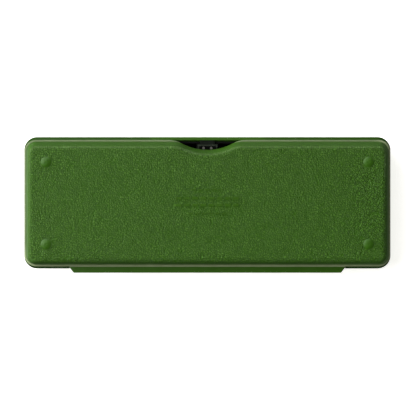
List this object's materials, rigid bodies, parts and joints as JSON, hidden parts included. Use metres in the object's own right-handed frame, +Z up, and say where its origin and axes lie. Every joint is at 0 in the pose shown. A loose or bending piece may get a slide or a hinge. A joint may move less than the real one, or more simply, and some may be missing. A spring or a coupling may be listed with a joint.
{
  "type": "pencil case",
  "caption": "Slim rectangular hard pencil case with a hinged lid, thumb notch, magnetic catch, black lining and leather-grained shell on dome feet.",
  "frame": {"origin": "bottom centre of the closed case's bounding box, on the surface that the feet stand on", "axes": "+Z up from the feet to the lid, X along the case, -Y towards the thumb notch and +Y towards the hinge"},
  "size_m": [0.2, 0.074, 0.024],
  "materials": {
    "green_plastic": "dark green moulded plastic, leather-grained on the flat faces and smooth on walls and rims",
    "black_plastic": "matt black moulded plastic",
    "bracket_plastic": "dark grey-green moulded plastic",
    "pin_steel": "drawn steel wire",
    "keeper_steel": "stamped steel, blackened",
    "magnet_nickel": "nickel-plated magnet"
  },
  "bodies": {
    "base": {"base_shell": "green_plastic", "base_liner": "black_plastic", "hinge_pin": "pin_steel", "magnet_holder": "black_plastic", "catch_magnets": "magnet_nickel", "pencil_comb_left": "black_plastic", "pencil_comb_right": "black_plastic"},
    "lid": {"lid_shell": "green_plastic", "lid_liner": "black_plastic", "keeper_carrier": "bracket_plastic", "keeper_plate": "keeper_steel", "keeper_rivets": "keeper_steel"}
  },
  "joints": [
    {"name": "lid_hinge", "type": "hinge", "parent": "base", "child": "lid", "pos_m": [0, 0.0358, 0.012], "axis": [-1, 0, 0], "range_deg": [0, 180]}
  ]
}
